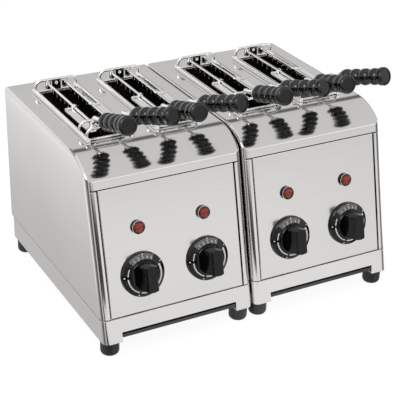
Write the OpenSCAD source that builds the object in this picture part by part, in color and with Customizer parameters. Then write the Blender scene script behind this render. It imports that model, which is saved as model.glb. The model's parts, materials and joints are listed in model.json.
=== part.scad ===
// Four-slot commercial toaster: two bolted two-slot modules with lift-out sandwich tongs.
// Millimetres. Origin on the floor, midway between the sides and between knob tips and back.
// +Z is up and the front looks toward -Y.

/* [Overall] */
// Width of one module
module_w = 184; // [178:1:190]
// Space between the two modules
module_gap = 2; // [1.5:0.5:4]
// Depth of the base from its front bottom edge to its back
depth = 280; // [272:1:288]
// Height of the rubber feet
foot_h = 19; // [14:1:22]
// Height of a module from the bottom of its base to its top plate
body_h = 196; // [190:1:202]
// Backward lean of the front, in degrees
lean = 13; // [10:0.5:15]

/* [Casing] */
// Sheet thickness of casing and rear panel
sheet = 1; // [0.8:0.1:1.5]
// Radius between the top plate and the sides
top_edge_r = 3; // [2.5:0.5:5]
// Radius of the curved shoulder at the front of the top
shoulder_r = 66; // [60:1:70]
// Drop of the shoulder from the top plate to the crease
shoulder_drop = 20; // [16:1:22]
// Radius of the crease between shoulder and band
crease_r = 4; // [2:0.5:6]
// Height of the band between the crease and the front panel
band_h = 9.2; // [8:0.1:12]
// Corner radius of the front columns and of the base
corner_r = 7.5; // [6:0.5:9]
// Distance from the side of a module to the front window
window_margin = 9.9; // [9.5:0.1:13]
// Open slit between the band and the front columns
slit_h = 1.3; // [1:0.1:2]
// Distance of the rear panel from the back edge
rear_recess = 10; // [8:1:14]

/* [Slots] */
// Distance between the two slots of a module
slot_pitch = 81.3; // [79:0.1:83]
// Width of a slot
slot_w = 42; // [38:1:44]
// Length of a slot
slot_l = 146; // [140:1:148]
// Distance from the back edge to the slot
slot_back = 36; // [34:1:40]

/* [Base] */
// Height of the base
base_h = 27.5; // [25:0.5:32]
// Sheet thickness of the base
base_t = 1.2; // [1:0.1:1.6]
// Distance from the side of a module to the tray opening
notch_margin = 21.8; // [20:0.2:26]
// Height of the tray opening
notch_h = 10.4; // [9:0.2:13]
// Shadow groove between base and casing
seam = 1; // [0.6:0.1:1.2]

/* [Crumb tray] */
// Sheet thickness of the crumb tray
tray_t = 0.8; // [0.6:0.1:1.2]
// Length of the crumb tray
tray_l = 250; // [230:1:256]
// Running clearance of the tray on its runners
tray_gap = 0.4; // [0.3:0.1:0.6]

/* [Front panel] */
// Thickness of the front panel
panel_t = 1; // [0.8:0.1:1.2]
// Open gap between panel and window
panel_gap = 0.9; // [0.7:0.1:1.6]
// Sideways play of the panel in its window
panel_shift = 0.4; // [0:0.1:0.6]
// Radius of the folded panel edges
fold_r = 1.3; // [1.2:0.1:2]
// Depth of the panel folds
fold_l = 12; // [8:1:16]
// Height of the knob axis above the bottom of the base, along the slope
knob_u = 70; // [67:0.5:74]
// Distance between the two knobs of a module
control_pitch = 78.5; // [76:0.1:81]
// Height of the lamp above the bottom of the base, along the slope
lamp_u = 122.5; // [118:0.5:126]

/* [Controls] */
// Diameter of the knob skirt
knob_d = 50; // [44:1:54]
// Height of the knob skirt
skirt_h = 8; // [6:0.5:10]
// Height of the grip bar over the skirt
grip_h = 17; // [12:1:20]
// Width of the grip bar
grip_w = 12.5; // [10:0.5:15]
// Diameter of the round boss under the grip bar
boss_d = 34; // [30:1:36]
// Diameter of the timer shaft
shaft_d = 6; // [5:0.5:8]
// Running clearance between shaft and bushing, on the radius
shaft_gap = 0.05; // [0.02:0.01:0.08]
// Width of the timer housing
timer_w = 44; // [38:1:50]
// Depth of the timer housing
timer_l = 34; // [28:1:40]
// Diameter of the pilot lamp lens
lamp_d = 14.4; // [12:0.2:15]

/* [Heating] */
// Width of a heating chamber
chamber_w = 74; // [70:1:77]
// Space between a slot end and the chamber wall
chamber_end = 7; // [5:1:10]
// Sheet thickness of the chamber
chamber_t = 0.8; // [0.6:0.1:1]
// Diameter of a heating tube
tube_d = 8; // [6:0.5:9]
// Distance of a heating tube from the slot centre
tube_x = 30; // [28:0.5:31]

/* [Tongs] */
// Distance of a side rail from the slot centre
rail_x = 26; // [25:0.5:28]
// Width of a side rail
rail_w = 5; // [4:0.5:6]
// Clearance of the rails over the top plate
rest_gap = 0.3; // [0.3:0.1:0.5]
// Distance of the pivot pins behind the slot
pivot_out = 2; // [1:0.5:3]
// Height of the arches over the top plate
arch_h = 16; // [15:0.5:18]
// Radius of the bent rod of the arches
rod_r = 1.6; // [1.4:0.1:1.8]
// Distance of a jaw from the slot centre
jaw_x = 10.3; // [10:0.1:12]
// Height of the jaw rail over the top plate
jaw_z = 10; // [9.5:0.1:10.5]
// Depth of the cage below the top plate
cage_h = 135; // [120:1:142]
// Number of upright wires in a jaw
cage_n = 11; // [9:1:12]
// Diameter of the upright wires
wire_d = 2; // [1.6:0.1:2.4]
// Diameter of the jaw rail
jaw_rail_d = 3.2; // [3:0.1:3.6]
// Diameter of the pivot pin
pin_d = 4; // [3:0.5:4.5]
// Running clearance between pin and eye, on the radius
pin_gap = 0.05; // [0.02:0.01:0.08]

/* [Handles] */
// Length of a handle
handle_l = 62; // [56:1:66]
// Largest diameter of a handle bead
bead_d = 19.5; // [18:0.5:20]
// Diameter of the handle end
knob_end_d = 21; // [19:0.5:21.5]
// Rise of the handles, in degrees
handle_rise = 17; // [14:0.5:20]
// Outward turn of the right handle, in degrees
handle_turn = 18.5; // [16:0.5:22]
// Distance of the handle roots in front of the slot
root_out = 16; // [13:0.5:20]
// Height of the handle roots over the top plate
root_z = 26; // [25.5:0.5:29]
// Distance of the left handle from the slot centre
root_left = 11; // [11:0.5:13]
// Distance of the right handle root from the slot centre
root_right = 23; // [22:0.5:24]

/* [Hidden] */
$fn = 64;
module_x = (module_w + module_gap) / 2;
top_z = foot_h + body_h;
seam_z = foot_h + base_h;
grip_end = boss_d / 2 - 2.4;
knob_reach = (skirt_h + grip_h) * cos(lean) - (knob_u - grip_end) * sin(lean);
back_y = (depth + knob_reach) / 2;
front_y = back_y - depth;
crease_z = top_z - shoulder_drop;
crease_y = front_y + (crease_z - foot_h) * tan(lean);
arc_y = crease_y + sqrt(shoulder_r * shoulder_r - pow(shoulder_r - shoulder_drop, 2));
arc_z = top_z - shoulder_r;
arc_in = (arc_y - front_y) * cos(lean) - (arc_z - foot_h) * sin(lean);
arc_up = (arc_y - front_y) * sin(lean) + (arc_z - foot_h) * cos(lean);
crease_u = arc_up + sqrt(pow(shoulder_r - crease_r, 2) - pow(arc_in - crease_r, 2));
crease_turn = atan2(crease_u - arc_up, arc_in - crease_r);
band_u = (crease_z - band_h - foot_h) / cos(lean);
seam_u = base_h / cos(lean);
window_x = module_w / 2 - window_margin;
panel_x = window_x - panel_gap;
panel_u = band_u - panel_gap;
slit_x = module_w / 2 - corner_r * 0.35;
panel_back = sheet + panel_t;
deep = 420;
slot_y = back_y - slot_back - slot_l / 2;
slot_front = slot_back + slot_l;
chamber_l = slot_l + 2 * chamber_end;
inner_top = top_z - sheet;
foot_in = 12;
foot_r = 10.5;
foot_round = 5;
deck_in = 0.6;
neck_r = 3;
flange_in = 30;
notch_x = module_w / 2 - notch_margin;
tray_x = notch_x - 1;
guide_t = 1.2;
runner_z = foot_h + base_t;
tray_z = runner_z + tray_gap;
tray_top = foot_h + notch_h - 0.8;
tray_front = front_y + 6;
bolt_r = 3;
bolt_head_r = 5.5;
bolt_head_t = 4;
bolt_y = [-25, 95];
bolt_z = [foot_h + 59, foot_h + 169];
gland_x = 45;
gland_z = seam_z + 26;
gland_r = 8;
rear_y = back_y - rear_recess;
vent_n = 9;
plate_gap = 0.3;
tube_low = 36;
tube_step = 48;
tube_out = 3;
terminal_out = 10;
terminal_r = 1.5;
lens_cap = 2.6;
lens_out = 2;
bezel_t = 0.5;
bend_r = 8;
tie_r = 1.2;
pivot_d = slot_back - pivot_out;
root_d = slot_front + root_out;
loop_gap = 20;
loop_front_d = slot_front;
loop_back_d = slot_front - loop_gap;
loop_l = 4;
rail_over = 6;
rail_d0 = slot_back - rail_over;
rail_d1 = slot_front + rail_over;
eye_r = pin_d / 2 + 1.8;
head_r = eye_r - 0.2;
arch_in = arch_h - 2 * rod_r;
arch_mid = arch_h - rod_r;
rear_plate_x = jaw_x - eye_r - 1;
eye_z0 = jaw_z - 4.5;
jaw_end_d = slot_front - 6;
cage_in = 16;
cage_d0 = slot_back + cage_in;
cage_l = slot_l - 2 * cage_in;
cage_step = cage_l / (cage_n - 1);
weld_gap = 0.05;
arm_z = jaw_z - 2;
arm_d0 = slot_back + slot_l / 2;
arm_d1 = slot_front - 4;
clip_r = jaw_rail_d / 2 + 1.8;
clip_w = 5;
clip_d = cage_d0 + (floor(cage_n / 2) + 0.5) * cage_step;
front_clip_d = jaw_end_d - 4.5;
arm_in = jaw_x + 2.2;
arm_w = 9;
clip_l = 10;
riser_r = 2.5;
stud_r = 2.5;
stud_l = 20;
ferrule_r = 6;
ferrule_t = 4;
bend_d = arm_d1;
bend_z = 22;
bead_n = 4;
end_l = 9;
end_round = 3;
bead_l = (handle_l - end_l) / bead_n;
dish_h = 0.8;
core_r = bead_d / 2 - 2.2;

function slot_x(n) = n == 1 ? -module_x - slot_pitch / 2 : n == 2 ? -module_x + slot_pitch / 2
  : n == 3 ? module_x - slot_pitch / 2 : module_x + slot_pitch / 2;
function control_x(n) = (n > 2 ? 1 : -1) * module_x + (n % 2 == 0 ? 1 : -1) * control_pitch / 2;

steel = [0.80, 0.80, 0.79];
dark = [0.16, 0.16, 0.16];
black = [0.06, 0.06, 0.06];
red = [0.62, 0.14, 0.10];

// Frame of the leaned front: local z runs up the slope, local y goes in
module leaned() {
  translate([0, front_y, foot_h]) rotate([-lean, 0, 0]) children();
}

// Frame on the front at x and slope height u: local z points outward
module on_front(x, u) {
  leaned() translate([x, 0, u]) rotate([90, 0, 0]) children();
}

// Rectangle with round corners, centred
module round_rect(w, l, r) {
  square([w - 2 * r, l], center = true);
  square([w, l - 2 * r], center = true);
  for (sx = [-1, 1]) {
    for (sy = [-1, 1]) {
      translate([sx * (w / 2 - r), sy * (l / 2 - r)]) circle(r);
    }
  }
}

// Block with a flat bottom and two round upper corners, from low to high
module round_top(half, low, high, r) {
  translate([-half, low]) square([2 * half, high - r - low]);
  translate([-(half - r), low]) square([2 * (half - r), high - low]);
  for (s = [-1, 1]) {
    translate([s * (half - r), high - r]) circle(r);
  }
}

// Leaned prism of a module with round front corners, inset by i
module leaned_prism(i) {
  leaned() translate([0, 0, -60]) linear_extrude(440)
    translate([0, deep + i]) rotate(180) round_top(module_w / 2 - i, 0, deep, corner_r - i);
}

// Casing as a solid, inset by i, open ends lengthened by e
module casing_solid(i, e) {
  half = module_w / 2 - i;
  intersection() {
    difference() {
      translate([-half, 0, 0]) rotate([90, 0, 90]) linear_extrude(2 * half) side_profile(i, e);
      for (s = [-1, 1]) {
        mirror([s > 0 ? 0 : 1, 0, 0]) edge_cutters(half, i, e);
      }
    }
    leaned_prism(i);
  }
}

// Side view of the casing: flat top, curved shoulder and the block under it
module side_profile(i, e) {
  translate([arc_y, seam_z - e]) square([back_y + e - arc_y, body_h - base_h + e - i]);
  translate([front_y - 10, seam_z - e]) square([arc_y - front_y + 20, arc_z - seam_z + e]);
  translate([arc_y, arc_z]) circle(shoulder_r - i);
}

// Cutters that round the top edge along the flat top and round the shoulder
module edge_cutters(half, i, e) {
  r = top_edge_r - i;
  translate([half - r, back_y + e + 1, top_z - top_edge_r]) rotate([90, 0, 0])
    linear_extrude(back_y + e + 1 - arc_y) corner_waste(r);
  translate([0, arc_y, arc_z]) rotate([0, -90, 0]) rotate([0, 0, -90]) rotate_extrude(angle = 90)
    translate([shoulder_r - top_edge_r, -(half - r)]) mirror([0, 1]) corner_waste(r);
}

// What a rounding of radius r takes off a square corner
module corner_waste(r) {
  difference() {
    square(r + 1);
    circle(r);
  }
}

// What the rounding of the crease takes off, between the band and the shoulder
module crease_waste() {
  far = crease_r + 2;
  leaned() translate([-module_w, 0, 0]) rotate([90, 0, 90]) linear_extrude(2 * module_w)
    translate([crease_r, crease_u]) difference() {
      polygon([[0, 0], [-far, 0], [-far, far * tan(crease_turn / 2)],
        [-far * cos(crease_turn), far * sin(crease_turn)]]);
      circle(crease_r);
    }
}

// Polished casing: sheet shell with two slots and the front window; side is the bolted one
module casing(side) {
  color(steel) difference() {
    casing_solid(0, 0);
    casing_solid(sheet, 5);
    crease_waste();
    for (s = [-1, 1]) {
      translate([s * slot_pitch / 2, slot_y, top_z - 10]) linear_extrude(20) round_rect(slot_w, slot_l, 3);
    }
    leaned() {
      translate([-window_x, -5, 0]) cube([2 * window_x, 5 + sheet + 2, band_u]);
      translate([-slit_x, -5, band_u - slit_h]) cube([2 * slit_x, 5 + corner_r / 2, slit_h]);
    }
    for (y = bolt_y) {
      for (z = bolt_z) {
        translate([side * (module_w / 2 - 5), y, z]) rotate([0, side * 90, 0]) cylinder(h = 10, r = bolt_r);
      }
    }
  }
}

// Folded front panel as a block, inset by i, lengthened at its open back and bottom by e
module panel_block(i, e) {
  r = max(fold_r - i, 0.1);
  leaned() intersection() {
    translate([0, 0, -e]) linear_extrude(panel_u + e) translate([panel_shift, sheet + fold_l])
      rotate(180) round_top(panel_x - i, -e, fold_l - i, r);
    translate([-module_w, 0, 0]) rotate([90, 0, 90]) linear_extrude(2 * module_w) {
      translate([sheet + i + r, -e]) square([fold_l + e, panel_u - i + e]);
      translate([sheet + i, -e]) square([fold_l + e, panel_u - i - r + e]);
      translate([sheet + i + r, panel_u - i - r]) circle(r);
    }
  }
}

// Satin front panel with folded edges, holes for two bushings and two lamps
module front_panel() {
  color(steel) intersection() {
    difference() {
      panel_block(0, 0);
      panel_block(panel_t, 5);
      for (s = [-1, 1]) {
        on_front(s * control_pitch / 2, knob_u) translate([0, 0, -6]) cylinder(h = 10, r = shaft_d / 2 + 2);
        on_front(s * control_pitch / 2, lamp_u) translate([0, 0, -6]) cylinder(h = 10, r = lamp_d / 2);
      }
    }
    translate([-module_w, -depth, seam_z]) cube([2 * module_w, 2 * depth, body_h]);
  }
}

// Rear panel: shallow pan inside the back of the casing, with vents; bored for the gland when wanted
module rear_panel(gland) {
  color(steel) difference() {
    translate([0, back_y - 1, 0]) rotate([90, 0, 0]) linear_extrude(rear_recess - 1 + sheet)
      round_top(module_w / 2 - sheet, seam_z, top_z - sheet, top_edge_r - sheet);
    translate([0, back_y + 1, 0]) rotate([90, 0, 0]) linear_extrude(rear_recess + 1)
      round_top(module_w / 2 - 2 * sheet, seam_z + sheet, top_z - 2 * sheet, top_edge_r - 2 * sheet);
    for (k = [0:vent_n - 1]) {
      for (z = [seam_z + 70, seam_z + 120]) {
        translate([(k - (vent_n - 1) / 2) * 16, rear_y + 5, z]) rotate([90, 0, 0])
          linear_extrude(10) round_rect(5, 30, 2.4);
      }
    }
    if (gland) {
      translate([gland_x, rear_y + 5, gland_z]) rotate([90, 0, 0]) cylinder(h = 10, r = gland_r);
    }
  }
}

// Block of the base between two heights, inset by i
module base_block(i, low, high) {
  intersection() {
    leaned_prism(i);
    translate([0, 0, low]) linear_extrude(high - low)
      translate([0, -deep + back_y - i]) round_top(module_w / 2 - i, 0, deep, corner_r - i);
  }
}

// Base: skirt, deck with crumb holes, bottom flanges with runners, notch for the tray
module base() {
  color(steel) difference() {
    union() {
      difference() {
        base_block(0, foot_h, seam_z - seam);
        base_block(base_t, foot_h - 5, seam_z + 5);
      }
      base_block(deck_in, seam_z - seam - 0.4, seam_z);
      difference() {
        base_block(0.5, foot_h, runner_z);
        translate([-module_w / 2 + flange_in, -depth, foot_h - 5])
          cube([module_w - 2 * flange_in, depth + back_y - 14, 20]);
      }
      for (s = [-1, 1]) {
        translate([s * (notch_x + guide_t / 2) - guide_t / 2, front_y + 12, runner_z - 0.2])
          cube([guide_t, depth - 40, notch_h - base_t]);
      }
    }
    translate([-notch_x, front_y - 20, foot_h - 5]) cube([2 * notch_x, 20 + 10, 5 + notch_h]);
    for (s = [-1, 1]) {
      translate([s * slot_pitch / 2, slot_y, seam_z - 5])
        linear_extrude(10) square([chamber_w - 8, chamber_l - 8], center = true);
      for (y = [front_y + foot_in + 2, back_y - foot_in - 2]) {
        translate([s * (module_w / 2 - foot_in), y, foot_h - 5]) cylinder(h = 10, r = neck_r);
      }
    }
  }
}

// One push-in rubber foot: body with a round bottom edge, neck through the flange, barbed head
module foot() {
  rotate_extrude() {
    square([foot_r - foot_round, foot_h]);
    translate([0, foot_round]) square([foot_r, foot_h - foot_round]);
    translate([foot_r - foot_round, foot_round]) circle(foot_round);
    square([neck_r, foot_h + base_t + 1]);
    translate([0, runner_z]) polygon([[0, 0], [neck_r + 2, 0], [neck_r, 4], [0, 4]]);
  }
}

// Four feet of one module
module feet() {
  color(black) for (s = [-1, 1]) {
    for (y = [front_y + foot_in + 2, back_y - foot_in - 2]) {
      translate([s * (module_w / 2 - foot_in), y, 0]) foot();
    }
  }
}

// Bolts through both inner walls, each with a spacer in the gap
module joining_bolts() {
  color(steel) for (y = bolt_y) {
    for (z = bolt_z) {
      translate([0, y, z]) rotate([0, 90, 0]) {
        cylinder(h = module_gap + 2 * sheet + 2 * bolt_head_t, r = bolt_r, center = true);
        cylinder(h = module_gap, r = bolt_head_r + 1.5, center = true);
        for (s = [-1, 1]) {
          translate([0, 0, s * (module_gap / 2 + sheet + bolt_head_t / 2)])
            cylinder(h = bolt_head_t, r = bolt_head_r, center = true);
        }
      }
    }
  }
}

// Cable gland in the rear panel: flanged cap outside, locknut inside, bored through
module cable_gland() {
  color(dark) translate([module_x + gland_x, rear_y, gland_z]) rotate([-90, 0, 0]) difference() {
    union() {
      translate([0, 0, -sheet - 8]) cylinder(h = sheet + 8 + rear_recess - 1, r = gland_r);
      cylinder(h = 4, r = gland_r + 4, $fn = 6);
      translate([0, 0, -sheet - 5]) cylinder(h = 5, r = gland_r + 4, $fn = 6);
    }
    translate([0, 0, -40]) cylinder(h = 80, r = 4);
  }
}

// Crumb tray: open pan with a turned lip at the front
module crumb_tray() {
  color(dark) union() {
    difference() {
      translate([-tray_x, tray_front, tray_z]) cube([2 * tray_x, tray_l, tray_top - tray_z]);
      translate([-tray_x + tray_t, tray_front + tray_t, tray_z + tray_t])
        cube([2 * tray_x - 2 * tray_t, tray_l - 2 * tray_t, 30]);
    }
    translate([-tray_x, tray_front - 4.5, tray_top - 2]) cube([2 * tray_x, 5, 1.2]);
    translate([-tray_x, tray_front - 4.5, tray_top - 5]) cube([2 * tray_x, 1, 4.2]);
  }
}

// Heating chamber under slot n: two side reflectors and two end plates bored for the tubes
module chamber(n) {
  wall_h = inner_top - seam_z;
  end_w = chamber_w - 2 * chamber_t - 2 * plate_gap;
  color(steel) difference() {
    translate([slot_x(n), slot_y, seam_z]) for (s = [-1, 1]) {
      translate([s * (chamber_w - chamber_t) / 2 - chamber_t / 2, -chamber_l / 2, 0])
        cube([chamber_t, chamber_l, wall_h]);
      translate([-end_w / 2, s * (chamber_l - chamber_t) / 2 - chamber_t / 2, 0])
        cube([end_w, chamber_t, wall_h]);
    }
    tubes(n, chamber_l + 2 * terminal_out, tube_d / 2);
  }
}

// Row of tubes of one slot
module tubes(n, l, r) {
  for (s = [-1, 1]) {
    for (k = [0:2]) {
      translate([slot_x(n) + s * tube_x, slot_y, seam_z + tube_low + k * tube_step]) rotate([90, 0, 0])
        cylinder(h = l, r = r, center = true);
    }
  }
}

// Heating tubes of slot n with terminal pins at both ends
module heater(n) {
  color(dark) {
    tubes(n, chamber_l + 2 * tube_out, tube_d / 2);
    tubes(n, chamber_l + 2 * terminal_out, terminal_r);
  }
}

// Timer housing behind the panel, with a bushing in the panel hole
module timer(n) {
  color(dark) on_front(control_x(n), knob_u) difference() {
    union() {
      translate([-timer_w / 2, -timer_w / 2, -panel_back - timer_l]) cube([timer_w, timer_w, timer_l]);
      translate([0, 0, -panel_back - 1]) cylinder(h = panel_t + 1, r = shaft_d / 2 + 2);
    }
    translate([0, 0, -panel_back - 20]) cylinder(h = 40, r = shaft_d / 2 + shaft_gap);
  }
}

// Timer shaft, turning in the bushing
module timer_shaft(n) {
  color(steel) on_front(control_x(n), knob_u) translate([0, 0, -panel_back - 19])
    cylinder(h = panel_back + 19 + skirt_h + 5, r = shaft_d / 2);
}

// Knob with a round skirt, a low boss and a grip bar with sloping flanks, bored for the shaft
module timer_knob(n) {
  color(black) on_front(control_x(n), knob_u) difference() {
    union() {
      translate([0, 0, -sheet + 0.6]) rotate_extrude() knob_profile();
      intersection() {
        rotate([90, 0, 0]) linear_extrude(boss_d, center = true) grip_profile();
        translate([0, 0, skirt_h - 2]) cylinder(h = grip_h + 2, r1 = boss_d / 2 - 0.6, r2 = grip_end);
      }
    }
    translate([0, 0, -10]) cylinder(h = skirt_h + 15.2, r = shaft_d / 2);
  }
}

// Half profile of the knob skirt: rim, sloping dial face and boss
module knob_profile() {
  r = knob_d / 2;
  h = skirt_h + sheet - 0.6;
  polygon([[0, 0], [r, 0], [r, 2], [r - 0.8, 3], [boss_d / 2 + 0.4, h - 2.4], [boss_d / 2, h - 0.6],
    [boss_d / 2 - 0.6, h], [0, h]]);
}

// Cross-section of the grip bar: wide foot, narrow outer face with broken edges
module grip_profile() {
  w = grip_w / 2;
  top = skirt_h + grip_h;
  polygon([[-w - 4, skirt_h - 2], [w + 4, skirt_h - 2], [w + 3, skirt_h], [w + 0.4, top - 1.2],
    [w - 0.8, top], [-w + 0.8, top], [-w - 0.4, top - 1.2], [-w - 3, skirt_h]]);
}

// Pilot lamp: domed lens with a body through the panel and a collar behind it
module pilot_lamp(n) {
  color(red) on_front(control_x(n), lamp_u) rotate_extrude() {
    translate([0, -14]) square([lamp_d / 2, 14 + lens_out]);
    translate([0, -panel_back - 2]) square([lamp_d / 2 + 1.4, 2]);
    intersection() {
      translate([0, lens_out + lens_cap - lens_ball()]) circle(lens_ball());
      translate([0, lens_out]) square([lamp_d, lens_cap + 1]);
    }
  }
}

// Radius of the lens dome
function lens_ball() = (lamp_d * lamp_d / 4 + lens_cap * lens_cap) / (2 * lens_cap);

// Bright rings round the four lenses
module pilot_bezels() {
  color(steel) for (n = [1:4]) {
    on_front(control_x(n), lamp_u) translate([0, 0, -sheet]) difference() {
      cylinder(h = sheet + lens_out, r = lamp_d / 2 + bezel_t);
      translate([0, 0, -1]) cylinder(h = 10, r = lamp_d / 2);
    }
  }
}

// Frame of tong n: slot centre, back edge, top plate
module at_tong(n) {
  translate([slot_x(n), back_y, top_z]) children();
}

// Bar along the slot from d0 to d1
module along(x, z, d0, d1, r) {
  translate([x, -d0, z]) rotate([90, 0, 0]) cylinder(h = d1 - d0, r = r);
}

// Arch of bent rod across the slot, at distance d
module arch(d) {
  bend_z0 = arch_mid - bend_r;
  translate([0, -d, 0]) {
    translate([0, 0, arch_mid]) rotate([0, 90, 0])
      cylinder(h = 2 * (rail_x - bend_r), r = rod_r, center = true);
    for (s = [-1, 1]) {
      translate([s * rail_x, 0, 2]) cylinder(h = bend_z0 - 2, r = rod_r);
      mirror([s > 0 ? 0 : 1, 0, 0]) translate([rail_x - bend_r, 0, bend_z0]) rotate([90, 0, 0])
        rotate_extrude(angle = 90) translate([bend_r, 0]) circle(rod_r);
    }
  }
}

// Tong frame: two rails, rear arch with a bored plate, two front loops, front rod and two pivot pins
module tong_frame(n) {
  color(steel) at_tong(n) difference() {
    tong_frame_solid();
    translate([0, -rail_d0, jaw_z]) rotate([90, 0, 0]) cylinder(h = 6, r = 2);
  }
}

// The frame before its eyelet is bored
module tong_frame_solid() {
  union() {
    for (s = [-1, 1]) {
      translate([s * rail_x, -rail_d0, 0]) rotate([90, 0, 0]) linear_extrude(rail_d1 - rail_d0)
        rail_profile();
      translate([s * jaw_x, -pivot_d, eye_z0 - 1.5]) cylinder(h = arch_mid - eye_z0 + 1.5, r = pin_d / 2);
      translate([s * jaw_x, -pivot_d, eye_z0 - 1.5]) cylinder(h = 1.2, r = head_r);
    }
    arch(pivot_d);
    arch(loop_back_d + loop_l / 2);
    arch(loop_front_d + loop_l / 2);
    translate([-rail_x, -rail_d0 - 5, rest_gap]) cube([2 * rail_x, 5, 1.2]);
    translate([-rear_plate_x, -pivot_d - 0.6, rest_gap])
      cube([2 * rear_plate_x, 1.2, arch_mid - rest_gap]);
    translate([0, -loop_front_d - loop_l / 2, rest_gap + tie_r]) rotate([0, 90, 0])
      cylinder(h = 2 * rail_x, r = tie_r, center = true);
  }
}

// Cross-section of a side rail, rounded on top
module rail_profile() {
  translate([-rail_w / 2, rest_gap]) square([rail_w, 5 - rail_w / 2]);
  translate([0, rest_gap + 5 - rail_w / 2]) circle(rail_w / 2);
}

// Jaw on side s: eye, rail, two clips, cross pin, arm leaf, bent riser, ferrule and stud
module jaw(n, s) {
  free = s > 0 ? 0.4 : 0;
  root_x = s > 0 ? root_right : -root_left;
  bend_x = (root_x + s * (arm_in + 4)) / 2;
  turn = s > 0 ? handle_turn : 0;
  axis = [sin(turn) * cos(handle_rise), -cos(turn) * cos(handle_rise), sin(handle_rise)];
  color(steel) at_tong(n) union() {
    difference() {
      union() {
        translate([s * jaw_x, -pivot_d, eye_z0 - 0.3 + free])
          cylinder(h = arch_in - eye_z0 + 0.1 - 2 * free, r = eye_r);
        along(s * jaw_x, jaw_z, pivot_d + pin_d / 2 + 0.6, jaw_end_d, jaw_rail_d / 2);
      }
      translate([s * jaw_x, -pivot_d, 0]) cylinder(h = 40, r = pin_d / 2 + pin_gap);
    }
    for (d = [clip_d, front_clip_d]) {
      along(s * jaw_x, jaw_z, d - clip_w / 2, d + clip_w / 2, clip_r);
    }
    translate([s * jaw_x, -clip_d, jaw_z]) rotate([0, s * 90, 0]) cylinder(h = clip_l, r = 1.1);
    translate([s * (arm_in + arm_w / 2), -arm_d1, arm_z - 1]) linear_extrude(2) leaf();
    rod([s * (arm_in + 4), -arm_d1 + 8, arm_z], [bend_x, -bend_d, bend_z], riser_r);
    translate([bend_x, -bend_d, bend_z]) sphere(riser_r + 0.5);
    rod([bend_x, -bend_d, bend_z], [root_x, -root_d, root_z] - 2 * axis, riser_r);
    translate([root_x, -root_d, root_z]) rotate([0, 0, turn]) rotate([90 - handle_rise, 0, 0]) {
      translate([0, 0, -ferrule_t]) cylinder(h = ferrule_t, r = ferrule_r);
      cylinder(h = stud_l, r = stud_r);
    }
  }
}

// Wire basket under the jaw rail on side s: upright wires, two cross rails and inward feet
module basket(n, s) {
  foot_l = s > 0 ? 2.5 : 5;
  upright_h = cage_h + jaw_z - jaw_rail_d / 2 - weld_gap;
  color(steel) at_tong(n) union() {
    for (k = [0:cage_n - 1]) {
      translate([s * jaw_x, -cage_d0 - k * cage_step, -cage_h]) {
        cylinder(h = upright_h, r = wire_d / 2);
        rotate([0, -s * 90, 0]) cylinder(h = foot_l, r = wire_d / 2 - 0.1);
      }
    }
    along(s * jaw_x, -cage_h, cage_d0 - 2, cage_d0 + cage_l + 2, jaw_rail_d / 2 - 0.1);
    along(s * jaw_x, -cage_h / 2, cage_d0 - 2, cage_d0 + cage_l + 2, jaw_rail_d / 2 - 0.3);
  }
}

// Outline of the arm leaf, with a round rear end
module leaf() {
  l = arm_d1 - arm_d0;
  translate([-arm_w / 2, 0]) square([arm_w, l - arm_w / 2]);
  translate([0, l - arm_w / 2]) circle(arm_w / 2);
}

// Round rod between two points
module rod(p, q, r) {
  v = q - p;
  translate(p) rotate([0, acos(v[2] / norm(v)), atan2(v[1], v[0])]) cylinder(h = norm(v), r = r);
}

// Beaded handle on side s, bored for the stud
module handle(n, s) {
  root_x = s > 0 ? root_right : -root_left;
  turn = s > 0 ? handle_turn : 0;
  color(black) at_tong(n) translate([root_x, -root_d, root_z]) rotate([0, 0, turn])
    rotate([90 - handle_rise, 0, 0]) rotate_extrude() handle_profile();
}

// Half profile of a handle: core, beads and a dished round-edged end, less the bore
module handle_profile() {
  ball = bead_d / 2 - 0.35;
  end_r = knob_end_d / 2;
  difference() {
    intersection() {
      union() {
        square([core_r, handle_l - end_round]);
        for (k = [0:bead_n - 1]) {
          translate([bead_d / 2 - ball, bead_l * (k + 0.5)]) circle(ball);
        }
        translate([0, handle_l - end_l]) square([end_r - end_round, end_l]);
        translate([0, handle_l - end_l + end_round]) square([end_r, end_l - 2 * end_round]);
        translate([end_r - end_round, handle_l - end_l + end_round]) circle(end_round);
        translate([end_r - end_round, handle_l - end_round]) circle(end_round);
      }
      square([40, handle_l]);
    }
    translate([-1, -1]) square([1 + stud_r, stud_l + 2]);
    translate([-1, handle_l - dish_h]) square([1 + end_r - end_round, dish_h + 1]);
  }
}

translate([-module_x, 0, 0]) casing(1);  // left_casing
translate([module_x, 0, 0]) casing(-1);  // right_casing
translate([-module_x, 0, 0]) front_panel();  // left_front_panel
translate([module_x, 0, 0]) front_panel();  // right_front_panel
translate([-module_x, 0, 0]) rear_panel(false);  // left_rear_panel
translate([module_x, 0, 0]) rear_panel(true);  // right_rear_panel
translate([-module_x, 0, 0]) base();  // left_base
translate([module_x, 0, 0]) base();  // right_base
translate([-module_x, 0, 0]) feet();  // left_feet
translate([module_x, 0, 0]) feet();  // right_feet
joining_bolts();
cable_gland();
pilot_bezels();
for (n = [1:4]) pilot_lamp(n);  // pilot_lenses
translate([-module_x, 0, 0]) crumb_tray();  // left_crumb_tray
translate([module_x, 0, 0]) crumb_tray();  // right_crumb_tray
for (n = [1, 2]) heater(n);  // left_heaters
for (n = [3, 4]) heater(n);  // right_heaters
for (n = [1:4]) timer(n);  // timers
for (n = [1:4]) {
  chamber(n);
  timer_shaft(n);
  timer_knob(n);
  tong_frame(n);
  jaw(n, -1);
  jaw(n, 1);
  basket(n, -1);
  basket(n, 1);
  handle(n, -1);
  handle(n, 1);
}
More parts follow.
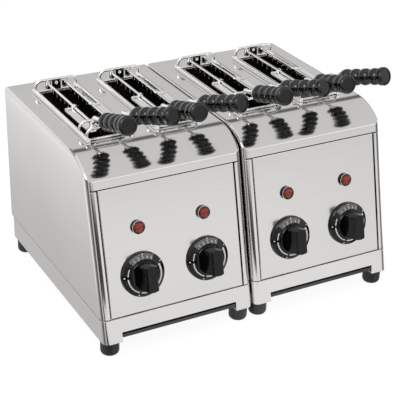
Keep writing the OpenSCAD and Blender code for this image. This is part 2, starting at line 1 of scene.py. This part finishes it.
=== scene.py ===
import bmesh
import bpy
import json
import math
import numpy as np
from mathutils import Matrix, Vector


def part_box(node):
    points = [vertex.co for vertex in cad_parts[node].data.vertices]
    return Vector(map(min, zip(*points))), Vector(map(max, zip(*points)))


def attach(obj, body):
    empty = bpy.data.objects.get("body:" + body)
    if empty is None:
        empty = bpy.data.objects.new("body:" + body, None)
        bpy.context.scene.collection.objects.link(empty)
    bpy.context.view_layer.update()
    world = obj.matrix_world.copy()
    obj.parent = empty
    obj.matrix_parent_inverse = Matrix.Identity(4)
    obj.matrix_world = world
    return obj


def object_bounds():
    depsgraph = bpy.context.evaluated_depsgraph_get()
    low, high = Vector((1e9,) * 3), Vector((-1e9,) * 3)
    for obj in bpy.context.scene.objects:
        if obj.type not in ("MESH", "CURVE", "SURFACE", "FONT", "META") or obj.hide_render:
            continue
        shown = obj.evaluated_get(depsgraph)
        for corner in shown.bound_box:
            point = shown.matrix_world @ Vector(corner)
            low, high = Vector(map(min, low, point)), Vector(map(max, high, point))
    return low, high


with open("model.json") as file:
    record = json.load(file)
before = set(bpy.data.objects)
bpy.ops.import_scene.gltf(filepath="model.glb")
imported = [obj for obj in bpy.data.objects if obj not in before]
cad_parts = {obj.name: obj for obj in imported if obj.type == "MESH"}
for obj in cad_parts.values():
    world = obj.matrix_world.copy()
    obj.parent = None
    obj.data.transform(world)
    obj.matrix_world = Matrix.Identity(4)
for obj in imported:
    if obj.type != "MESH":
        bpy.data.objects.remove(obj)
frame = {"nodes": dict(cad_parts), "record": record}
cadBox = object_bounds()
nodes = frame["nodes"]
record = frame["record"]
scene = bpy.context.scene
scene.view_settings.view_transform = "Standard"
print("frame loaded:", len(nodes), "nodes")

mm = 0.001  # in metres


def linear(hexColour):  # sRGB hex to linear RGBA
    c = np.array([int(hexColour[i:i + 2], 16) / 255 for i in (1, 3, 5)])
    low = c / 12.92
    high = ((c + 0.055) / 1.055) ** 2.4
    return tuple(np.where(c <= 0.04045, low, high)) + (1.0,)


def addNode(tree, kind, settings=None, links=None, stops=None, **attrs):
    # one node with its values, its incoming links and, on a ramp, its stops as (place, colour)
    n = tree.nodes.new(kind)
    for k, v in attrs.items():
        setattr(n, k, v)
    for k, v in (settings or {}).items():
        n.inputs[k].default_value = v
    for k, source in (links or {}).items():
        socket = source.outputs[0] if hasattr(source, "outputs") else source  # a node gives its first output
        tree.links.new(socket, n.inputs[k])
    if stops:
        elements = n.color_ramp.elements
        while len(elements) < len(stops):
            elements.new(0.5)
        for e, (place, colour) in zip(elements, stops):
            e.position = place
        for e, (place, colour) in zip(elements, stops):
            e.color = colour
    return n


def between(span, unit=1.0):  # settings that make a Map Range node read span as 0 to 1
    return {"From Min": span[0] * unit, "From Max": span[1] * unit}


def startMaterial(name, settings):  # a bare Principled material; returns it with its tree and shader
    m = bpy.data.materials.new(name)
    m.use_nodes = True
    t = m.node_tree
    t.nodes.clear()
    s = addNode(t, "ShaderNodeBsdfPrincipled", settings)
    addNode(t, "ShaderNodeOutputMaterial", links={"Surface": s})
    return m, t, s


mottle = (0.3, 0.7)  # noise values at which a finish has its first and its second colour


def grain(tree, shader, perMm, colours, rough, bump=0.0, bumpMm=0.05, detail=3.0, edgeMm=0.0):
    # noise of perMm cycles per mm on x, y and z drives colour, roughness and a little relief;
    # edgeMm rounds sharp edges in the shading
    coord = addNode(tree, "ShaderNodeTexCoord")
    scale = addNode(tree, "ShaderNodeMapping", {"Scale": tuple(v / mm for v in perMm)},
                    {"Vector": coord.outputs["Object"]})
    noise = addNode(tree, "ShaderNodeTexNoise", {"Scale": 1.0, "Detail": detail}, {"Vector": scale})
    fac = noise.outputs["Fac"]
    ramp = addNode(tree, "ShaderNodeValToRGB", links={"Fac": fac},
                   stops=[(at, linear(c)) for at, c in zip(mottle, colours)])
    tree.links.new(ramp.outputs[0], shader.inputs["Base Color"])
    span = addNode(tree, "ShaderNodeMapRange", {"To Min": rough[0], "To Max": rough[1]}, {"Value": fac})
    tree.links.new(span.outputs[0], shader.inputs["Roughness"])
    relief = addNode(tree, "ShaderNodeBump", {"Strength": bump, "Distance": bumpMm * mm}, {"Height": fac})
    if edgeMm > 0:
        edge = addNode(tree, "ShaderNodeBevel", {"Radius": edgeMm * mm}, samples=6)
        tree.links.new(edge.outputs[0], relief.inputs["Normal"])
    tree.links.new(relief.outputs[0], shader.inputs["Normal"])
    return coord, ramp


# sizes shared with the solids, in mm, read from the frame where it has them
bases = {side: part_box(f"{side}_base") for side in ("left", "right")}
baseLo, baseHi = bases["left"]
turns = {j["child"]: j for j in record["behaviour"]["joints"] if j["name"].endswith("_turn")}
slope = turns["knob_1"]["axis"]
body = dict(frontY=baseLo.y / mm, backY=baseHi.y / mm, footH=baseLo.z / mm, seamZ=baseHi.z / mm,
            half=(baseHi.x - baseLo.x) / 2 / mm, lean=math.atan2(-slope[2], slope[1]),
            moduleX={side: (lo.x + hi.x) / 2 / mm for side, (lo, hi) in bases.items()},
            cornerR=7.5, recess=10.0)
# heights at which the lamp ring's painted shade turns to its painted highlight, and the lens's painted glow
# fades to its rim
paintedLightHeights = dict(lip=(1.75, 2.15), lens=(1.8, 4.7))  # in mm over the plane of the panel


def heightOver(tree, coord, span):  # 0 to 1 as a point rises through span along the leaned front's normal
    way = (0.0, -math.cos(body["lean"]), math.sin(body["lean"]))
    plane = way[1] * body["frontY"] + way[2] * body["footH"]
    height = addNode(tree, "ShaderNodeVectorMath", {1: way}, {0: coord.outputs["Object"]},
                     operation="DOT_PRODUCT")
    rise = between((plane + span[0], plane + span[1]), mm)
    return addNode(tree, "ShaderNodeMapRange", rise, {"Value": height.outputs["Value"]}).outputs[0]


def makeMaterials():  # each finish under the name of its slot, and the two inks under their own
    made = {}

    # mirror-polished stainless sheet: reflections stay sharp and swim a little where the sheet isn't flat
    m, t, s = startMaterial("polished_stainless", {"Metallic": 1.0})
    grain(t, s, perMm=(0.008, 0.008, 0.008), colours=("#cbc9c7", "#d0cecc"), rough=(0.08, 0.115),
          bump=0.05, bumpMm=0.5, detail=1.0, edgeMm=0.7)
    made["polished_steel"] = m

    # satin stainless panel: brushed along the width, drawn at two lines to the mm, coarser than real, to show
    m, t, s = startMaterial("satin_stainless", {"Metallic": 1.0})
    grain(t, s, perMm=(0.02, 2.0, 2.0), colours=("#cac8c6", "#cfcdcb"), rough=(0.13, 0.17),
          bump=0.03, bumpMm=0.02, detail=2.0, edgeMm=0.5)
    made["satin_steel"] = m

    # base skirt: the same sheet, a little less polished than the casing
    m, t, s = startMaterial("semi_polished_stainless", {"Metallic": 1.0})
    grain(t, s, perMm=(0.01, 0.01, 0.01), colours=("#cdcbca", "#d2d0cf"), rough=(0.1, 0.15),
          bump=0.04, bumpMm=0.4, detail=1.0, edgeMm=0.7)
    made["base_steel"] = m

    # bright plated wire and strip: hard little reflections that drawing lines break up
    m, t, s = startMaterial("bright_plated_steel", {"Metallic": 1.0})
    grain(t, s, perMm=(0.2, 0.03, 0.2), colours=("#d6d5d3", "#e4e3e1"), rough=(0.05, 0.11),
          bump=0.05, bumpMm=0.05, edgeMm=0.3)
    made["tong_chrome"] = m

    # lamp ring: painted shade on its wall and a painted highlight on its lip, told apart by height over the
    # panel: the wall dark, the lip bright
    m, t, s = startMaterial("ring_painted_shade_and_highlight", {"Metallic": 1.0})
    coord, ramp = grain(t, s, perMm=(0.2, 0.2, 0.2), colours=("#1d1c1b", "#dededc"), rough=(0.05, 0.09),
                        bump=0.03, bumpMm=0.05, detail=2.0, edgeMm=0.15)
    t.links.new(heightOver(t, coord, paintedLightHeights["lip"]), ramp.inputs["Fac"])
    made["chrome"] = m

    # zinc-plated screws, bolts and shafts: dull grey with a faint spangle
    m, t, s = startMaterial("zinc_plate", {"Metallic": 1.0})
    grain(t, s, perMm=(0.5, 0.5, 0.5), colours=("#9d9d98", "#b4b4ae"), rough=(0.28, 0.42),
          bump=0.08, bumpMm=0.03)
    made["zinc_steel"] = m

    # aluminised sheet after long heating: brown-grey, patchy
    m, t, s = startMaterial("heat_darkened_sheet", {"Metallic": 0.7})
    grain(t, s, perMm=(0.04, 0.04, 0.03), colours=("#1b1816", "#332d29"), rough=(0.45, 0.65),
          bump=0.15, bumpMm=0.1, detail=5.0)
    made["chamber_steel"] = m

    # oxidised sheath of the heating tubes: dull brown-black, streaked along the tube
    m, t, s = startMaterial("oxidised_sheath", {"Metallic": 0.5})
    grain(t, s, perMm=(0.3, 0.08, 0.3), colours=("#171412", "#2e2621"), rough=(0.5, 0.7),
          bump=0.2, bumpMm=0.08)
    made["heater_sheath"] = m

    # vitreous enamel on the tray: deep black with a slight orange peel
    m, t, s = startMaterial("black_enamel", {"Coat Weight": 0.3, "Coat Roughness": 0.15})
    grain(t, s, perMm=(0.4, 0.4, 0.4), colours=("#0c0c0c", "#141414"), rough=(0.3, 0.42),
          bump=0.1, bumpMm=0.06)
    made["black_enamel"] = m

    # moulded rubber of the feet: matt, slightly dusty; the dark strips that paint the shadow in the seam
    # groove use it too
    m, t, s = startMaterial("moulded_rubber", {"IOR": 1.5})
    grain(t, s, perMm=(0.6, 0.6, 0.6), colours=("#161817", "#222423"), rough=(0.42, 0.58),
          bump=0.15, bumpMm=0.06)
    made["rubber"] = m

    # moulded nylon of the gland and the timers: matt black with a fine moulded texture
    m, t, s = startMaterial("moulded_nylon", {"IOR": 1.5})
    grain(t, s, perMm=(1.2, 1.2, 1.2), colours=("#151515", "#1f1f1f"), rough=(0.45, 0.6),
          bump=0.15, bumpMm=0.04)
    made["black_plastic"] = m

    # gloss phenolic of the knobs: almost black, hard shine
    m, t, s = startMaterial("gloss_phenolic", {"IOR": 1.33})
    grain(t, s, perMm=(0.25, 0.25, 0.25), colours=("#040404", "#080808"), rough=(0.07, 0.11),
          bump=0.03, bumpMm=0.04, detail=2.0, edgeMm=0.4)
    made["knob_phenolic"] = m

    # phenolic of the handles: glossy beads that hands have dulled a little
    m, t, s = startMaterial("worn_phenolic", {"IOR": 1.42, "Coat Weight": 0.15, "Coat Roughness": 0.06})
    grain(t, s, perMm=(0.2, 0.2, 0.2), colours=("#080808", "#0d0d0d"), rough=(0.07, 0.13),
          bump=0.03, bumpMm=0.05, edgeMm=0.3)
    made["handle_phenolic"] = m

    # red acrylic lens with painted light: its raised middle is painted paler, as a glow, and its rim darker,
    # as shade; told by height over the panel
    m, t, s = startMaterial("acrylic_painted_glow", {"IOR": 1.42})
    coord, ramp = grain(t, s, perMm=(0.3, 0.3, 0.3), colours=("#340905", "#8e341f"), rough=(0.12, 0.2),
                        bump=0.05, bumpMm=0.05, detail=1.0)
    t.links.new(heightOver(t, coord, paintedLightHeights["lens"]), ramp.inputs["Fac"])
    made["red_lens"] = m

    # pad-printed white ink of ring, ticks and numbers: matt, slightly uneven
    m, t, s = startMaterial("white_print", {"IOR": 1.5})
    grain(t, s, perMm=(2.0, 2.0, 2.0), colours=("#dededa", "#ebebe7"), rough=(0.45, 0.6))
    made["white_print"] = m

    # pad-printed grey ink of the field behind the numbers
    m, t, s = startMaterial("grey_print", {"IOR": 1.5})
    grain(t, s, perMm=(1.5, 1.5, 1.5), colours=("#5f5d5b", "#6d6b69"), rough=(0.4, 0.55))
    made["grey_print"] = m
    return made


finishes = makeMaterials()
for part in record["subparts"]:
    data = nodes[part["node"]].data
    data.materials.clear()
    data.materials.append(finishes[part["material_slot"]])
print("finishes set:", len(finishes))


def onFront(points, x, u):  # local (right, up the slope, outward) in mm to metres in the frame
    a = body["lean"]
    p = np.asarray(points, float)
    y = body["frontY"] + (u + p[:, 1]) * math.sin(a) - p[:, 2] * math.cos(a)
    z = body["footH"] + (u + p[:, 1]) * math.cos(a) + p[:, 2] * math.sin(a)
    return np.stack([x + p[:, 0], y, z], 1) * mm


def addMesh(name, verts, faces, finish, bodyName, smooth=False):
    # a piece from points in metres and faces, with its finish, the body that it rides on and its slot
    me = bpy.data.meshes.new(name)
    me.from_pydata([tuple(v) for v in verts], [], [tuple(f) for f in faces])
    me.materials.append(finishes[finish])
    me.polygons.foreach_set("use_smooth", np.full(len(me.polygons), smooth))
    me.update()
    o = bpy.data.objects.new(name, me)
    scene.collection.objects.link(o)
    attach(o, bodyName)
    return o


weldGap = 1e-7  # in metres


def closePole(o):  # merges the points that a disc's first ring has at its middle, and evens the normals
    bm = bmesh.new()
    bm.from_mesh(o.data)
    bmesh.ops.remove_doubles(bm, verts=bm.verts, dist=weldGap)
    bmesh.ops.recalc_face_normals(bm, faces=bm.faces)
    bm.to_mesh(o.data)
    bm.free()


def sweepFaces(rings, points, loop=False):
    # quads of a closed profile carried along a path; an open path gets both ends capped
    i, j = np.meshgrid(np.arange(rings if loop else rings - 1), np.arange(points), indexing="ij")
    k, n = (j + 1) % points, (i + 1) % rings
    corners = [i * points + j, i * points + k, n * points + k, n * points + j]
    quads = [list(q) for q in np.stack(corners, -1).reshape(-1, 4)]
    if loop:
        return quads
    return quads + [list(range(points))[::-1], list(range((rings - 1) * points, rings * points))]


# dark strip that paints the shadow in the seam groove, in mm: sunk from the casing's outline, from low to
# high under the seam
seamShade = dict(sunk=(0.3, 0.58), low=0.95, high=0.05, turn=12)


def makeSeamShade(side, x):
    # dark strip under the casing, a painted shadow in the seam groove: a four-point profile carried round the
    # module's outline,
    # which has a quarter circle at each corner and follows the lean at the front
    outer, inner = seamShade["sunk"]
    inset = np.array([outer, inner, inner, outer])
    z = body["seamZ"] - np.array([seamShade["low"], seamShade["low"], seamShade["high"], seamShade["high"]])
    r = body["cornerR"] - inset
    a = np.radians(np.concatenate([q + np.linspace(0, 90, seamShade["turn"]) for q in (0, 90, 180, 270)]))
    sideX = np.repeat((1, -1, -1, 1), seamShade["turn"])[:, None]
    sideY = np.repeat((1, 1, -1, -1), seamShade["turn"])[:, None]
    lead = body["frontY"] + (z - body["footH"]) * math.tan(body["lean"]) + inset + r
    tail = body["backY"] - inset - r
    px = x + sideX * (body["half"] - inset - r) + r * np.cos(a)[:, None]
    py = np.where(sideY > 0, tail, lead) + r * np.sin(a)[:, None]
    verts = np.stack([px, py, np.broadcast_to(z, px.shape)], -1).reshape(-1, 3)
    faces = sweepFaces(len(a), len(z), loop=True)
    addMesh(f"{side}_seam_painted_shadow", verts * mm, faces, "rubber", "chassis")


# screws of the rear panels, in mm: low and high are the distances from the panel's bottom and top edge
screw = dict(headR=3.4, headH=2.1, slotW=0.55, slotR=1.9, slotH=1.3, inFromSide=9.0, low=10.0, high=12.0,
             rings=16, turn=48)


def makeScrews(side, x):
    # pan heads: height over a disc falls with the fourth power of the radius, less a soft-edged cross recess
    lo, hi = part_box(f"{side}_rear_panel")
    r = np.linspace(0, 1, screw["rings"])[:, None] * screw["headR"]
    a = np.linspace(0, 2 * np.pi, screw["turn"], endpoint=False)[None, :]
    px, pz = r * np.cos(a), r * np.sin(a)
    dome = screw["headH"] * (1 - (r / screw["headR"]) ** 4)
    thin = np.minimum(np.abs(px), np.abs(pz)) / screw["slotW"]
    cross = screw["slotH"] / (1 + thin ** 6) / (1 + (r / screw["slotR"]) ** 12)
    head = np.stack([px, dome - cross, pz], -1).reshape(-1, 3)
    i, j = np.meshgrid(np.arange(screw["rings"] - 1), np.arange(screw["turn"]), indexing="ij")
    k = (j + 1) % screw["turn"]
    quads = np.stack([i, i + 1, i + 1, i], -1) * screw["turn"] + np.stack([j, j, k, k], -1)
    sides = [x + s * (body["half"] - screw["inFromSide"]) for s in (-1, 1)]
    heights = (lo.z / mm + screw["low"], (lo.z + hi.z) / 2 / mm, hi.z / mm - screw["high"])
    seatY = body["backY"] - body["recess"]
    spots = np.array([(sx, seatY, z) for sx in sides for z in heights])
    verts = (head[None] + spots[:, None]).reshape(-1, 3)
    copies = len(head) * np.arange(len(spots))[:, None, None]
    faces = (quads.reshape(-1, 4)[None] + copies).reshape(-1, 4)
    o = addMesh(f"{side}_rear_screws", verts * mm, faces, "zinc_steel", "chassis", True)
    closePole(o)


for side, x in body["moduleX"].items():
    makeSeamShade(side, x)
    makeScrews(side, x)
print("seam strips and rear screws set")

# print on the dials, lengths in mm, angles in degrees clockwise from the top; arcs are (from, to, width),
# sink puts the underside of the ink a little into the face, and digitShare is digit height over font size
dial = dict(faceR=(24.2, 17.4), faceH=(2.6, 5.6), ink=0.14, sink=0.02,
            ringR=19.6, arcPoints=40,
            arcs=[(62, 136, 2.3), (168, 196, 1.8), (204, 268, 1.2), (276, 300, 0.9)],
            ticks=[0, 60, 201, 272], tickR=(22.4, 24.0), tickW=1.3, tickPoints=4,
            field=(-43, 34), fieldR=(17.9, 24.0),
            digits={"1": -31, "2": -16, "3": -1, "4": 14, "5": 28},
            digitR=18.5, digitH=3.1, digitShare=0.7)


def dialHeight(r):  # height of the sloping dial face at radius r
    (r0, r1), (h0, h1) = dial["faceR"], dial["faceH"]
    return h0 + (r0 - np.asarray(r, float)) / (r0 - r1) * (h1 - h0)


def ribbon(angles, r0, r1):  # a thin slab on the dial: its four corners carried round the angles
    a = np.radians(np.asarray(angles, float))[:, None]
    r = np.broadcast_to([r0, r1, r1, r0], (len(a), 4))
    lift = np.array([0.0, 0.0, dial["ink"], dial["ink"]])
    h = dialHeight(r) + lift - dial["sink"]
    return np.stack([r * np.sin(a), r * np.cos(a), h], -1).reshape(-1, 3)


def printStrips(strips):
    # slabs of ink, each (angles, inner radius, outer radius), as one list of points and faces
    verts, faces = [], []
    for angles, r0, r1 in strips:
        start = sum(len(v) for v in verts)
        verts.append(ribbon(angles, r0, r1))
        faces += [[k + start for k in f] for f in sweepFaces(len(angles), 4)]
    return np.concatenate(verts), faces


def digitShape(text, angle):
    # one plain number bent on the dial: its height runs outward, its width is turned by the angle
    font = bpy.data.curves.new("digit", "FONT")
    font.body = text
    font.size = dial["digitH"] / dial["digitShare"]
    font.align_x = "CENTER"
    font.extrude = dial["ink"] / 2
    holder = bpy.data.objects.new("digit", font)
    scene.collection.objects.link(holder)
    shape = holder.to_mesh(depsgraph=bpy.context.evaluated_depsgraph_get())
    co = np.empty(len(shape.vertices) * 3)
    shape.vertices.foreach_get("co", co)
    x, y, z = co.reshape(-1, 3).T
    faces = [list(f.vertices) for f in shape.polygons]
    holder.to_mesh_clear()
    bpy.data.objects.remove(holder)
    a, r = math.radians(angle) + x / dial["digitR"], dial["digitR"] + y
    return np.stack([r * np.sin(a), r * np.cos(a), dialHeight(r) + dial["ink"] + z], 1), faces


def makeDial(n):  # a grey field, and over it the ring, ticks and numbers as one piece
    at = turns[f"knob_{n}"]["pos_m"]
    x, u = at[0] / mm, (at[2] / mm - body["footH"]) / math.cos(body["lean"])
    verts, faces = printStrips([(np.linspace(*dial["field"], dial["arcPoints"]), *dial["fieldR"])])
    addMesh(f"dial_field_{n}", onFront(verts, x, u), faces, "grey_print", f"knob_{n}")
    half = math.degrees(dial["tickW"] / 2 / dial["tickR"][1])
    marks = [(np.linspace(start, end, dial["arcPoints"]), dial["ringR"] - w / 2, dial["ringR"] + w / 2)
             for start, end, w in dial["arcs"]]
    marks += [(np.linspace(t - half, t + half, dial["tickPoints"]), *dial["tickR"]) for t in dial["ticks"]]
    verts, faces = printStrips(marks)
    for text, angle in dial["digits"].items():
        more, add = digitShape(text, angle)
        faces += [[k + len(verts) for k in f] for f in add]
        verts = np.concatenate([verts, more])
    addMesh(f"dial_print_{n}", onFront(verts, x, u), faces, "white_print", f"knob_{n}")


for n in range(1, len(turns) + 1):
    makeDial(n)
print("dials printed")

# camera at the photograph's viewing angle, in degrees and mm;
# its place is measured from the bottom back edge of the bases
shot = dict(yaw=28.91, pitch=27.03, roll=1.45, at=(-607.9, -1247.5, 715.2), focalPx=1183.1, frame=400,
            sensor=36.0, clip=(0.05, 50))


def makeCamera():  # looks along yaw and down by pitch, then rolls about that line
    cam = bpy.data.cameras.new("camera")
    cam.sensor_width = shot["sensor"]
    cam.sensor_fit = "HORIZONTAL"
    cam.lens = shot["focalPx"] / shot["frame"] * shot["sensor"]
    cam.clip_start, cam.clip_end = shot["clip"]
    yaw, pitch, roll = (math.radians(shot[k]) for k in ("yaw", "pitch", "roll"))
    look = np.array([math.sin(yaw) * math.cos(pitch), math.cos(yaw) * math.cos(pitch), -math.sin(pitch)])
    level = np.array([math.cos(yaw), -math.sin(yaw), 0])
    upright = np.cross(level, look)
    right = math.cos(roll) * level + math.sin(roll) * upright
    up = math.cos(roll) * upright - math.sin(roll) * level
    place = (np.array(shot["at"]) + [0, body["backY"], body["footH"]]) * mm
    m = np.eye(4)
    m[:3] = np.stack([right, up, -look, place], 1)
    o = bpy.data.objects.new("camera", cam)
    o.matrix_world = Matrix(m.tolist())
    scene.collection.objects.link(o)
    scene.camera = o


makeCamera()
print("camera set")

# the room, in metres; a pair is where a change begins and ends
studio = dict(
    floor="#f4f4f3", floorHalf=6.0,
    diffuse=0.35,  # level of the room for matt surfaces
    cameraShare=0.86, glow=1.08,  # share and strength of plain white in the floor that the camera sees
    # what polished steel sees below the horizon: (degrees from the front, positive to the right; level)
    horizon=[(-180, 0.95), (-150, 1.0), (-117, 0.95), (-109, 0.42), (-84, 0.38), (-78, 0.14), (-62, 0.14),
             (-56, 0.78), (-44, 0.78), (-37, 0.05), (8, 0.05), (14, 1.2), (29, 1.18), (40, 1.0), (46, 1.0),
             (54, 0.2), (82, 0.2), (90, 0.3), (150, 0.3), (162, 0.9), (180, 0.95)],
    # and above it, from the front (0) over the top (90) to the back (180), in each half of the room
    domeRight=[(0, 0.95), (2, 0.7), (9.5, 0.7), (12, 1.4), (36, 1.5), (42, 0.95), (100, 0.9), (132, 0.86),
               (135, 0.18), (144, 0.18), (147, 0.82), (157, 0.84), (163, 0.4), (168, 0.3), (180, 0.3)],
    domeLeft=[(0, 0.95), (20, 0.9), (24, 1.3), (60, 1.3), (75, 1.2), (128, 1.2), (134, 0.35), (146, 0.35),
              (150, 1.2), (180, 1.2)],
    halves=(0.15, 0.3), rise=(-0.06, -0.02),  # where left meets right and low meets high, on a unit sphere
    # paper that steel sees beside the casing: (distance in mm, level)
    paper=[(0, 0.7), (40, 0.72), (70, 0.77), (125, 0.92), (164, 1.02), (170, 1.24), (400, 1.2)],
    nearRadius=(0.7, 0.8),  # where that paper ends
    # it stops at the front too, on a line that turns back past the left side
    frontEdge=(-0.01, 0.005), flagSlope=0.344,
    # past that line lies one sheet before the panels, which fans out
    frontHalf=(0.11, 0.14), frontFan=0.6, frontReach=(0.45, 0.55), frontLevel=1.15)


def spanOf(levels):  # first and last place in a list of (place, level)
    return levels[0][0], levels[-1][0]


def greys(levels):  # (place, level) pairs as stops of a ramp over their own span
    first, last = spanOf(levels)
    return [((at - first) / (last - first), (level, level, level, 1)) for at, level in levels]


def angleShare(tree, top, bottom, levels):  # arc tangent of top over bottom as a share of the span of levels
    angle = addNode(tree, "ShaderNodeMath", links={0: top, 1: bottom}, operation="ARCTAN2")
    return addNode(tree, "ShaderNodeMapRange", between(spanOf(levels), math.radians(1)), {"Value": angle})


def makeWorld():
    # white to the camera, one soft level to matt surfaces, and the room's flags and lights to glossy ones;
    # a colour Mix node has its factor at input 0, its colours at 6 and 7 and its result at output 2
    w = bpy.data.worlds.new("studio")
    scene.world = w
    w.use_nodes = True
    t = w.node_tree
    t.nodes.clear()
    coord = addNode(t, "ShaderNodeTexCoord")
    way = addNode(t, "ShaderNodeSeparateXYZ", links={0: coord.outputs["Generated"]})
    front = addNode(t, "ShaderNodeMath", {1: -1.0}, {0: way.outputs["Y"]}, operation="MULTIPLY")
    turn = angleShare(t, way.outputs["X"], front, studio["horizon"])
    low = addNode(t, "ShaderNodeValToRGB", links={"Fac": turn}, stops=greys(studio["horizon"]))
    height = addNode(t, "ShaderNodeMath", {1: 0.0}, {0: way.outputs["Z"]}, operation="MAXIMUM")
    over = angleShare(t, height, front, studio["domeLeft"])
    left = addNode(t, "ShaderNodeValToRGB", links={"Fac": over}, stops=greys(studio["domeLeft"]))
    right = addNode(t, "ShaderNodeValToRGB", links={"Fac": over}, stops=greys(studio["domeRight"]))
    half = addNode(t, "ShaderNodeMapRange", between(studio["halves"]), {"Value": way.outputs["X"]})
    high = addNode(t, "ShaderNodeMix", links={0: half, 6: left, 7: right}, data_type="RGBA")
    rise = addNode(t, "ShaderNodeMapRange", between(studio["rise"]), {"Value": way.outputs["Z"]},
                   interpolation_type="SMOOTHSTEP")
    room = addNode(t, "ShaderNodeMix", links={0: rise, 6: low, 7: high.outputs[2]}, data_type="RGBA")
    ray = addNode(t, "ShaderNodeLightPath")
    glossy = addNode(t, "ShaderNodeMath", operation="MAXIMUM",
                     links={0: ray.outputs["Is Glossy Ray"], 1: ray.outputs["Is Transmission Ray"]})
    soft = (studio["diffuse"],) * 3 + (1,)
    seen = addNode(t, "ShaderNodeMix", {6: soft}, {0: glossy, 7: room.outputs[2]}, data_type="RGBA")
    white = addNode(t, "ShaderNodeMix", {7: (1, 1, 1, 1)},
                    {0: ray.outputs["Is Camera Ray"], 6: seen.outputs[2]}, data_type="RGBA")
    bg = addNode(t, "ShaderNodeBackground", {"Strength": 1.0}, {"Color": white.outputs[2]})
    addNode(t, "ShaderNodeOutputWorld", links={"Surface": bg})


def makeFloor():
    # white paper: near white to the camera, with a soft shadow; to glossy surfaces it is graded beside
    # the casing, one bright sheet before the panels, and clear elsewhere, so that the room shows there
    h = studio["floorHalf"]
    me = bpy.data.meshes.new("floor")
    me.from_pydata([(-h, -h, 0), (h, -h, 0), (h, h, 0), (-h, h, 0)], [], [(0, 1, 2, 3)])
    m, t, s = startMaterial("white_paper", {"Base Color": linear(studio["floor"]), "Roughness": 0.9})
    coord = addNode(t, "ShaderNodeTexCoord")
    place = addNode(t, "ShaderNodeSeparateXYZ", links={0: coord.outputs["Object"]})
    wall = cadBox[1][0]

    # graded by distance from the side of the casing, and clear past the near radius
    across = addNode(t, "ShaderNodeMath", links={0: place.outputs["X"]}, operation="ABSOLUTE")
    away = addNode(t, "ShaderNodeMath", {1: -wall}, {0: across}, operation="ADD")
    beside = addNode(t, "ShaderNodeMapRange", between(spanOf(studio["paper"]), mm), {"Value": away})
    tone = addNode(t, "ShaderNodeValToRGB", links={"Fac": beside}, stops=greys(studio["paper"]))
    reach = addNode(t, "ShaderNodeVectorMath", links={0: coord.outputs["Object"]}, operation="LENGTH")
    far = addNode(t, "ShaderNodeMapRange", between(studio["nearRadius"]), {"Value": reach.outputs["Value"]})

    # clear in front of the line that runs along the front and turns back past the left side
    past = addNode(t, "ShaderNodeMath", {1: -1.0, 2: -wall}, {0: place.outputs["X"]},
                   operation="MULTIPLY_ADD")
    pastLeft = addNode(t, "ShaderNodeMath", {1: 0.0}, {0: past}, operation="MAXIMUM")
    line = addNode(t, "ShaderNodeMath", {1: studio["flagSlope"], 2: body["frontY"] * mm}, {0: pastLeft},
                   operation="MULTIPLY_ADD")
    before = addNode(t, "ShaderNodeMath", links={0: line, 1: place.outputs["Y"]}, operation="SUBTRACT")
    ahead = addNode(t, "ShaderNodeMapRange", between(studio["frontEdge"]), {"Value": before})

    # apart from the sheet before the panels
    fanned = addNode(t, "ShaderNodeMath", {1: -studio["frontFan"]}, {0: before, 2: across},
                     operation="MULTIPLY_ADD")
    pastSides = addNode(t, "ShaderNodeMapRange", between(studio["frontHalf"]), {"Value": fanned})
    pastEnd = addNode(t, "ShaderNodeMapRange", between(studio["frontReach"]), {"Value": before})
    bare = addNode(t, "ShaderNodeMath", links={0: pastSides, 1: pastEnd}, operation="MAXIMUM")
    cleared = addNode(t, "ShaderNodeMath", links={0: ahead, 1: bare}, operation="MULTIPLY")
    gone = addNode(t, "ShaderNodeMath", links={0: far, 1: cleared}, operation="MAXIMUM")
    sheet = (studio["frontLevel"],) * 3 + (1,)
    level = addNode(t, "ShaderNodeMix", {7: sheet}, {0: ahead, 6: tone}, data_type="RGBA")
    shade = addNode(t, "ShaderNodeEmission", {"Strength": 1.0}, {"Color": level.outputs[2]})
    clear = addNode(t, "ShaderNodeBsdfTransparent")
    mirrored = addNode(t, "ShaderNodeMixShader", links={0: gone, 1: shade, 2: clear})

    # the camera sees mostly plain white, and the rest is lit paper that takes the shadow
    ray = addNode(t, "ShaderNodeLightPath")
    glow = addNode(t, "ShaderNodeEmission", {"Color": (1, 1, 1, 1), "Strength": studio["glow"]})
    share = addNode(t, "ShaderNodeMath", {1: studio["cameraShare"]}, {0: ray.outputs["Is Camera Ray"]},
                    operation="MULTIPLY")
    plain = addNode(t, "ShaderNodeMixShader", links={0: share, 1: s, 2: glow})
    mix = addNode(t, "ShaderNodeMixShader", links={0: ray.outputs["Is Glossy Ray"], 1: plain, 2: mirrored})
    t.links.new(mix.outputs[0], t.nodes["Material Output"].inputs["Surface"])
    me.materials.append(m)
    o = bpy.data.objects.new("floor", me)
    scene.collection.objects.link(o)


# square soft boxes, in metres and watts; a mirrored one shows in glossy things
lamps = dict(key=dict(place=(-1.1, -0.9, 1.8), aim=(0, 0, 0.12), size=0.9, watts=16, mirrored=True),
             fill=dict(place=(1.3, -1.4, 1.2), aim=(0, 0, 0.12), size=1.2, watts=6, mirrored=False),
             top=dict(place=(0.1, 0.4, 2.2), aim=(0, 0, 0.2), size=1.6, watts=10, mirrored=False))


def makeLamp(name, place, aim, size, watts, mirrored):  # a soft box at place, turned to aim
    lamp = bpy.data.lights.new(name, "AREA")
    lamp.shape = "SQUARE"
    lamp.size = size
    lamp.energy = watts
    o = bpy.data.objects.new(name, lamp)
    d = np.array(aim) - np.array(place)
    d = d / np.linalg.norm(d)
    side = np.cross(d, [0, 0, 1])
    side = side / np.linalg.norm(side)
    m = np.eye(4)
    m[:3] = np.stack([side, np.cross(side, d), -d, place], 1)
    o.matrix_world = Matrix(m.tolist())
    o.visible_glossy = mirrored
    scene.collection.objects.link(o)


makeWorld()
makeFloor()
for name, lamp in lamps.items():
    makeLamp(name, **lamp)
print("studio set")
